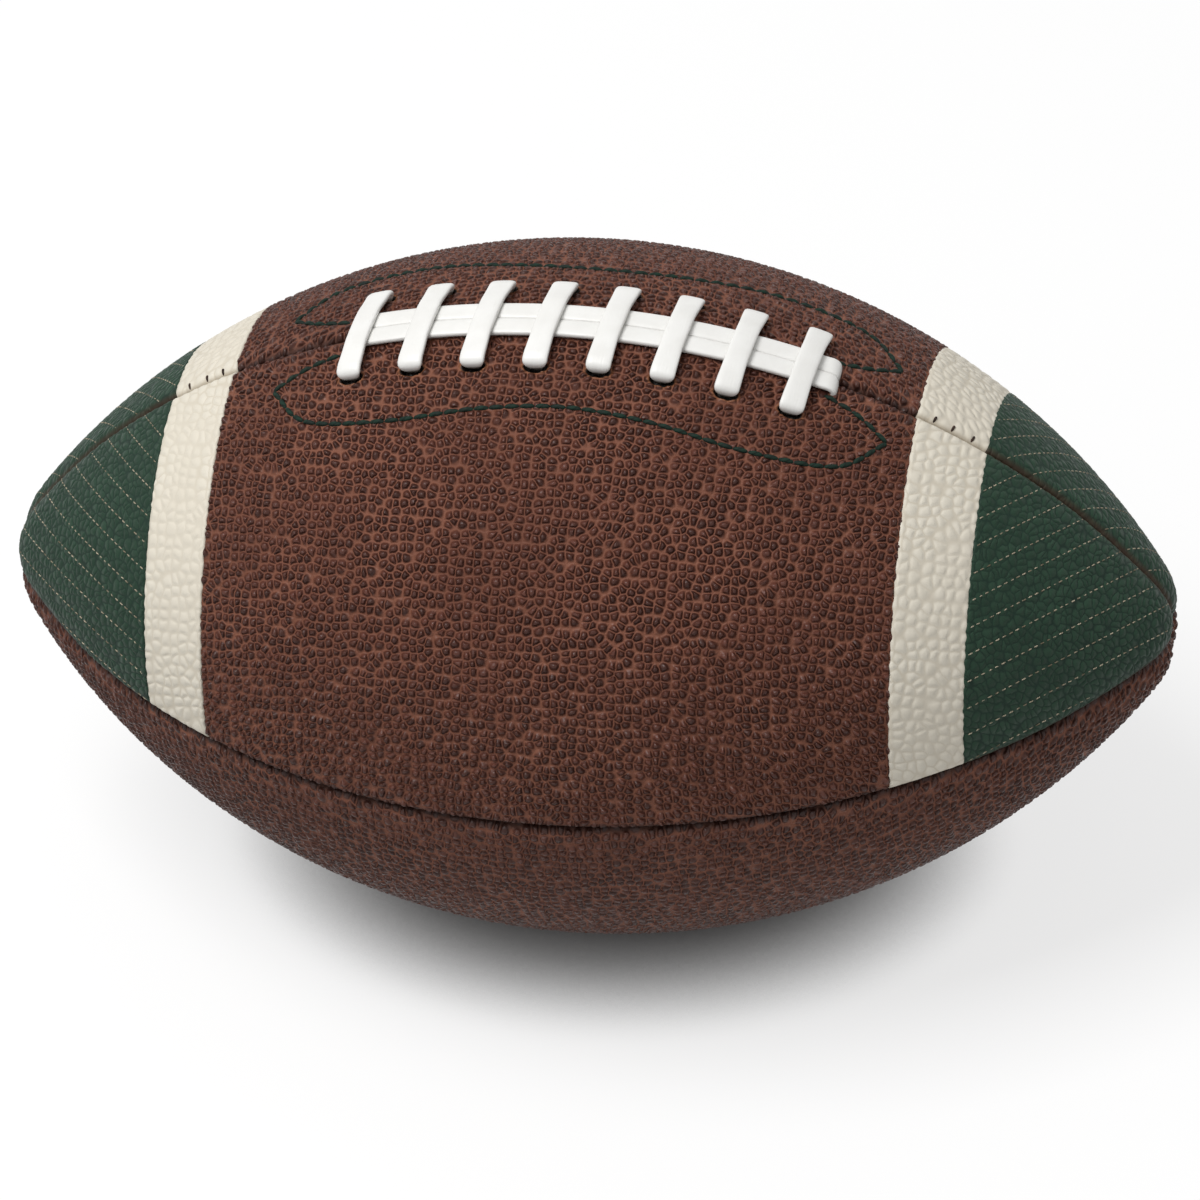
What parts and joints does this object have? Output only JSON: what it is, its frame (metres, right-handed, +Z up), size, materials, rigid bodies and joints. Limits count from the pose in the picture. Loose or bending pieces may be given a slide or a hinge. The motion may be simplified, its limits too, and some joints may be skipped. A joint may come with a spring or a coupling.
{
  "type": "american football",
  "caption": "Laced pointed ball with a pebbled leather cover, cream stripes, green stitched ends, lining, bladder and needle valve.",
  "frame": {"origin": "centre of the ball, on its long axis midway between its tips; the lacing stands proud, so the middle of the whole part's box is under 2 mm above it", "axes": "+X along the long axis, +Z up through the lacing, -Y towards the front seam"},
  "size_m": [0.2856, 0.168, 0.1714],
  "materials": {
    "cover_leather": "pebbled brown leather, low sheen",
    "stripe_cream": "pebbled cream composite leather, low sheen",
    "patch_green": "fine-grained dark green composite leather",
    "thread_tan": "fine tan polyester thread",
    "thread_green": "dark green polyester thread",
    "thread_dark": "waxed dark brown thread",
    "lace_white": "white flexible vinyl, satin",
    "lining_fabric": "plain woven cotton lining",
    "facing_leather": "undyed split leather",
    "bladder_rubber": "black butyl rubber",
    "valve_rubber": "black moulded rubber"
  },
  "bodies": {
    "ball": {"bladder": "bladder_rubber", "end_patch_left_back": "patch_green", "end_patch_left_front": "patch_green", "end_patch_right_back": "patch_green", "end_patch_right_front": "patch_green", "facing_stitch_back": "thread_green", "facing_stitch_front": "thread_green", "grip_stitch_left_back": "thread_tan", "grip_stitch_left_front": "thread_tan", "grip_stitch_right_back": "thread_tan", "grip_stitch_right_front": "thread_tan", "lace": "lace_white", "lace_facing_back": "facing_leather", "lace_facing_front": "facing_leather", "lace_tongue": "facing_leather", "lining_lower_back": "lining_fabric", "lining_lower_front": "lining_fabric", "lining_upper_back": "lining_fabric", "lining_upper_front": "lining_fabric", "panel_lower_back": "cover_leather", "panel_lower_front": "cover_leather", "panel_upper_back": "cover_leather", "panel_upper_front": "cover_leather", "seam_thread_back": "thread_dark", "seam_thread_bottom": "thread_dark", "seam_thread_front": "thread_dark", "seam_thread_top": "thread_dark", "stripe_left_back": "stripe_cream", "stripe_left_front": "stripe_cream", "stripe_right_back": "stripe_cream", "stripe_right_front": "stripe_cream", "valve_facing": "facing_leather", "valve_housing": "valve_rubber"},
    "plug": {"valve_plug": "valve_rubber"}
  },
  "joints": [
    {"name": "plug_slide", "type": "slide", "parent": "ball", "child": "plug", "axis": [0, 0.7071, -0.7071], "range_m": [0, 0.015]}
  ]
}
